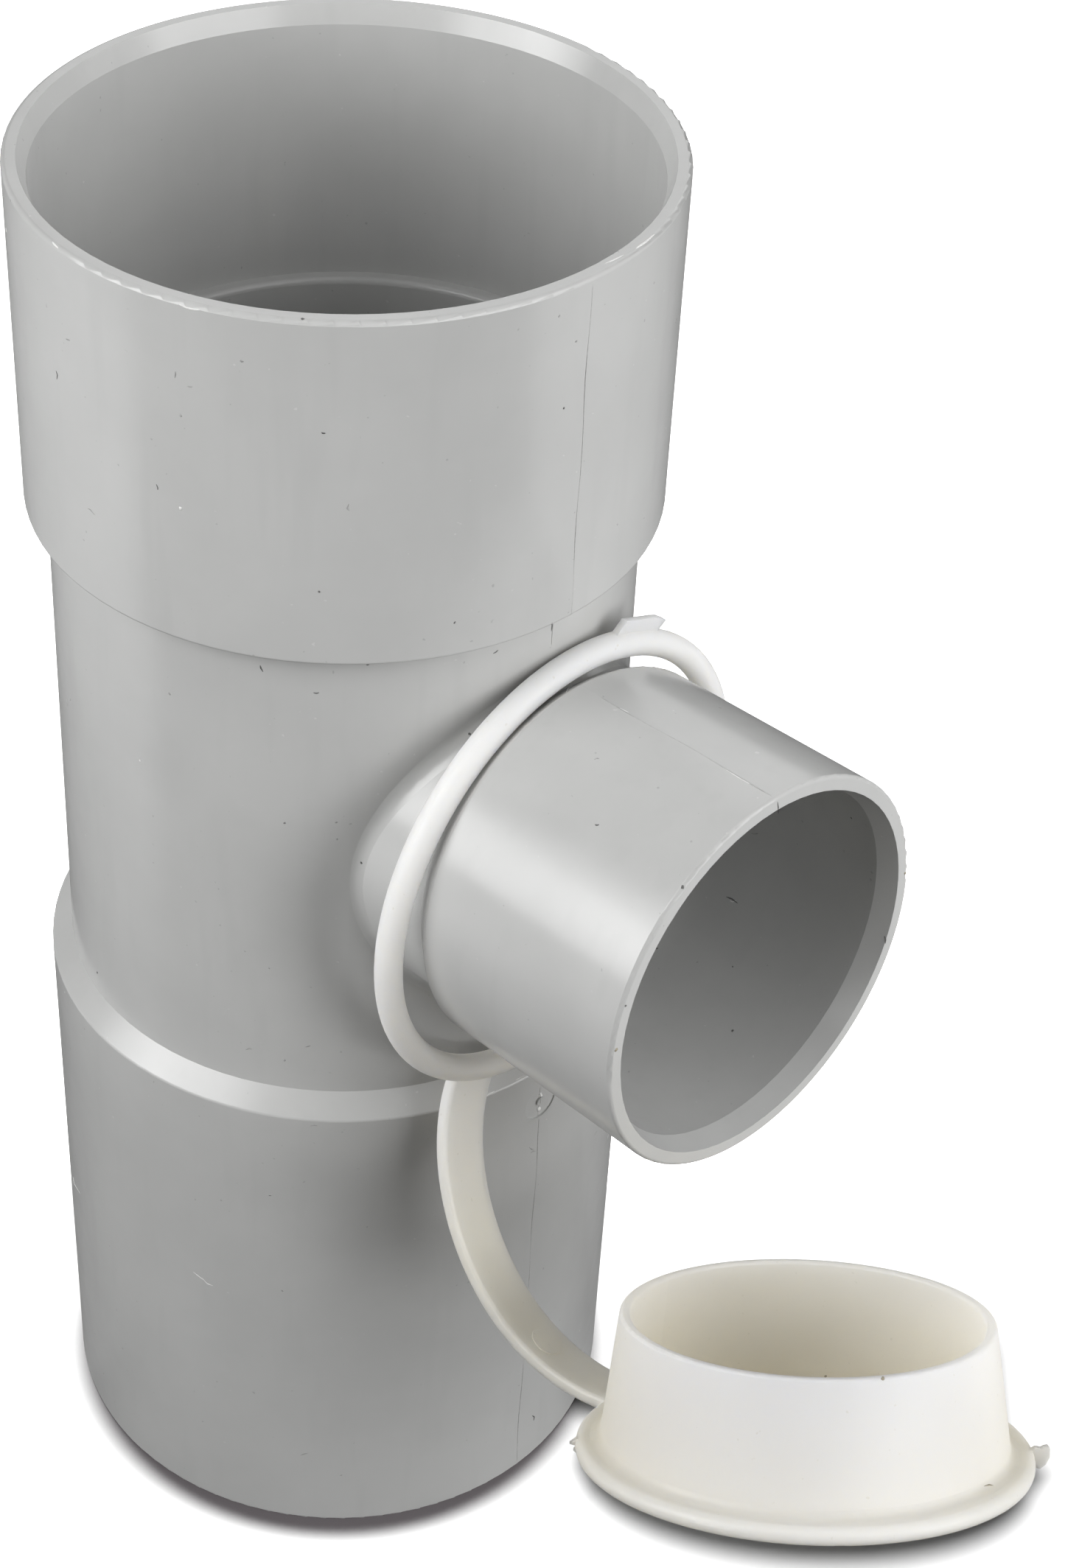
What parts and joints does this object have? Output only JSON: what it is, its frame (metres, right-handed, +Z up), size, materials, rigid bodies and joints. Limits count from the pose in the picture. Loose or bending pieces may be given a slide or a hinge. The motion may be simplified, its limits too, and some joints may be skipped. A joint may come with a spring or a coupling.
{
  "type": "downpipe rainwater diverter",
  "caption": "Downpipe rainwater diverter: socketed pipe body with a catch gutter and overflow inside, a side outlet, and a plug on a strap that hangs from the outlet's neck.",
  "frame": {"origin": "centre of the lower sleeve's mouth, on the downpipe's axis, in the plane that the part stands on", "axes": "+Z up the downpipe, from the long lower sleeve to the upper socket; +X on the side of the outlet, whose axis climbs 2.5 degrees outwards in the XZ plane"},
  "size_m": [0.1787, 0.0865, 0.215],
  "materials": {
    "grey_plastic": "satin, light grey rigid PVC",
    "white_plastic": "soft satin, milky off-white polyethylene"
  },
  "bodies": {
    "root": {"body": "grey_plastic", "closure": "white_plastic"}
  },
  "joints": []
}
